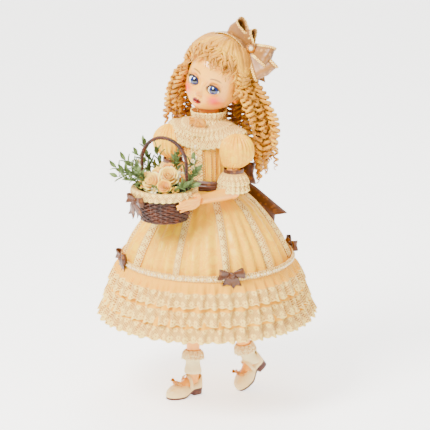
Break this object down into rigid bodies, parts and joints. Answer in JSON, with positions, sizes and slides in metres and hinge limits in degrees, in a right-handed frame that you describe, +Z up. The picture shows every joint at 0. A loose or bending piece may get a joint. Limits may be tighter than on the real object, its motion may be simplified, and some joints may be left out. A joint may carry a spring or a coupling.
{
  "type": "porcelain doll",
  "caption": "Porcelain doll with a turning head, arms that raise a flower basket and striding legs, in a tiered lace dress, with ringlets and bows",
  "frame": {"origin": "on the floor, at the bottom centre of the doll's box, under the axis of the skirt", "axes": "the doll faces -Y, its left side is +X, +Z is up"},
  "size_m": [0.2684, 0.2684, 0.457],
  "materials": {
    "porcelain": "glazed, painted",
    "body_cloth": "plain woven",
    "stringing_wire": "plain",
    "pate_cork": "matt",
    "eye_glass": "polished",
    "hair": "silky",
    "brocade": "satin with a woven pattern",
    "cream_lace": "openwork lace",
    "petticoat_cotton": "plain woven",
    "taupe_satin": "satin",
    "gold_satin": "satin",
    "gold_metal": "polished",
    "pearl": "pearly",
    "wicker": "varnished",
    "foam": "matt",
    "rose_silk": "soft",
    "leaf_silk": "soft",
    "sock_lace": "knitted lace",
    "shoe_leather": "polished",
    "sole_leather": "smooth"
  },
  "bodies": {
    "torso": {"cloth_torso": "body_cloth", "shoulder_plate": "porcelain", "limb_wires": "stringing_wire", "bodice": "brocade", "lace_collar": "cream_lace", "yoke_lace": "cream_lace", "throat_bow": "gold_satin", "buttons": "gold_metal", "sash_band": "taupe_satin", "sash_bow": "taupe_satin", "skirt": "brocade", "petticoat": "petticoat_cotton", "ruffle_top": "cream_lace", "ruffle_middle": "cream_lace", "ruffle_bottom": "cream_lace", "beading_lace": "cream_lace", "skirt_bows": "taupe_satin", "neck_bolt": "stringing_wire", "neck_spring": "stringing_wire"},
    "head": {"head_shell": "porcelain", "crown_pate": "pate_cork", "eye_left": "eye_glass", "eye_right": "eye_glass", "wig_cap": "hair", "fringe": "hair", "headband": "taupe_satin", "hair_bow": "taupe_satin", "brooch_setting": "gold_metal", "brooch_pearl": "pearl", "curls_left": "hair", "curls_right": "hair", "curls_back": "hair"},
    "left_arm": {"left_upper_arm": "body_cloth", "left_forearm": "porcelain", "left_puff_sleeve": "brocade", "left_sleeve_band": "taupe_satin", "left_lace_cuff": "cream_lace", "basket_bowl": "wicker", "basket_rim": "wicker", "basket_handle": "wicker", "basket_lace": "cream_lace", "basket_bow": "taupe_satin", "flower_foam": "foam", "roses": "rose_silk", "foliage": "leaf_silk"},
    "right_arm": {"right_upper_arm": "body_cloth", "right_forearm": "porcelain", "right_puff_sleeve": "brocade", "right_sleeve_band": "taupe_satin", "right_lace_cuff": "cream_lace"},
    "left_leg": {"left_leg": "porcelain", "left_sock": "sock_lace", "left_shoe": "shoe_leather", "left_sole": "sole_leather", "left_shoe_bow": "gold_satin"},
    "right_leg": {"right_leg": "porcelain", "right_sock": "sock_lace", "right_shoe": "shoe_leather", "right_sole": "sole_leather", "right_shoe_bow": "gold_satin"}
  },
  "joints": [
    {"name": "head_turn", "type": "hinge", "parent": "torso", "child": "head", "pos_m": [0, 0.004, 0.34], "axis": [0, 0, 1], "range_deg": [-40, 40], "deforming": ["curls_left", "curls_right", "curls_back"]},
    {"name": "left_shoulder", "type": "hinge", "parent": "torso", "child": "left_arm", "pos_m": [0, 0, 0.322], "axis": [-1, 0, 0], "range_deg": [0, 25]},
    {"name": "right_shoulder", "type": "hinge", "parent": "torso", "child": "right_arm", "pos_m": [0, 0, 0.322], "axis": [-1, 0, 0], "range_deg": [0, 25]},
    {"name": "left_hip", "type": "hinge", "parent": "torso", "child": "left_leg", "pos_m": [0, 0, 0.214], "axis": [1, 0, 0], "range_deg": [-20, 20]},
    {"name": "right_hip", "type": "hinge", "parent": "torso", "child": "right_leg", "pos_m": [0, 0, 0.214], "axis": [1, 0, 0], "range_deg": [-20, 20]}
  ],
  "couplings": [
    {"joint": "right_shoulder", "follows": "left_shoulder", "ratio": 1}
  ]
}
